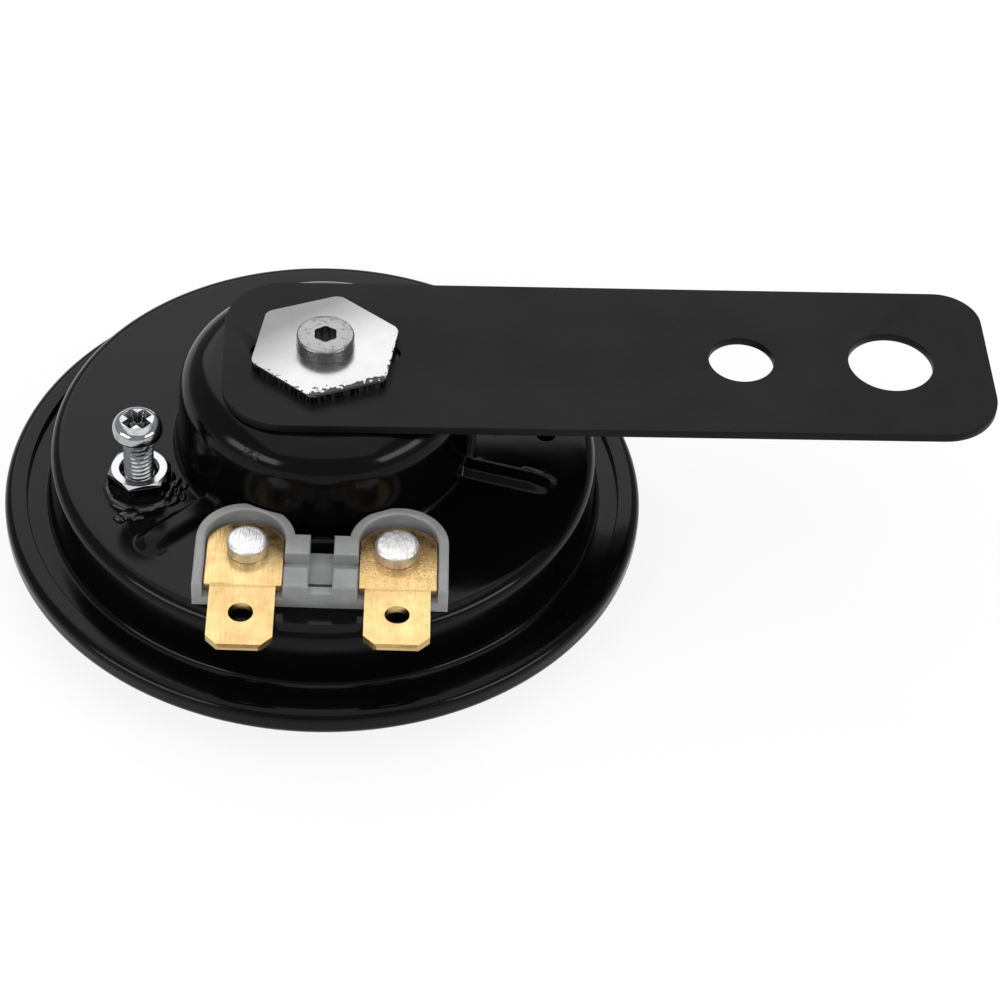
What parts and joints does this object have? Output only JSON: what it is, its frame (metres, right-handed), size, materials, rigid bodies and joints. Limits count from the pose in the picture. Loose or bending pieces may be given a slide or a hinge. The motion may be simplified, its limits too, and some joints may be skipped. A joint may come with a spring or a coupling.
{
  "type": "car horn",
  "caption": "Small electric disc horn with a rolled rim, a boss over its coil, a flat mounting bracket with bolt holes, spade terminals and an adjusting screw.",
  "frame": {"origin": "centre of the front cover's flat face, on the horn's axis", "axes": "+Z along the horn's axis to its rear, +X along the mounting bracket; the terminals point to -Y"},
  "size_m": [0.0988, 0.065, 0.0264],
  "materials": {
    "housing_enamel": "gloss",
    "cover_enamel": "gloss",
    "bracket_paint": "satin",
    "nut_zinc": "zinc plated, weathered",
    "core_zinc": "zinc plated",
    "screw_zinc": "bright zinc",
    "block_nylon": "moulded",
    "terminal_brass": "rolled",
    "rivet_aluminium": "set, scratched",
    "gasket_fibre": "pressed fibre",
    "diaphragm_steel": "spring steel",
    "bobbin_nylon": "moulded",
    "copper_winding": "enamelled wire",
    "plain_steel": "zinc plated",
    "contact_alloy": "contact alloy",
    "laminate": "pressed laminate",
    "tag_brass": "tinned"
  },
  "bodies": {
    "housing": {"rear_housing": "housing_enamel", "front_cover": "cover_enamel", "mounting_bracket": "bracket_paint", "bracket_nut": "nut_zinc", "pole_core": "core_zinc", "adjusting_screw": "screw_zinc", "adjuster_lock_nut": "screw_zinc", "terminal_block": "block_nylon", "terminal_left": "terminal_brass", "terminal_right": "terminal_brass", "terminal_rivet_left": "rivet_aluminium", "terminal_rivet_right": "rivet_aluminium", "front_gasket": "gasket_fibre", "rear_gasket": "gasket_fibre", "diaphragm": "diaphragm_steel", "breaker_spring": "diaphragm_steel", "coil_bobbin": "bobbin_nylon", "coil_winding": "copper_winding", "coil_cover_plate": "plain_steel", "contact_arm": "plain_steel", "breaker_rivets": "plain_steel", "fixed_contact": "contact_alloy", "breaker_insulators": "laminate", "inner_insulator": "laminate", "solder_tag_left": "tag_brass", "solder_tag_right": "tag_brass"},
    "armature": {"armature": "plain_steel", "armature_washer_rear": "plain_steel", "armature_washer_front": "plain_steel"},
    "breaker_tip": {"moving_contact": "contact_alloy"}
  },
  "joints": [
    {"name": "armature_stroke", "type": "slide", "parent": "housing", "child": "armature", "axis": [0, 0, 1], "range_m": [-0.0003, 0.0003], "stiffness_N_per_m": 2000, "deforming": ["diaphragm"]},
    {"name": "contact_lift", "type": "slide", "parent": "housing", "child": "breaker_tip", "axis": [0, 0, 1], "range_m": [0, 0.0003], "stiffness_N_per_m": 500, "deforming": ["breaker_spring"]}
  ]
}
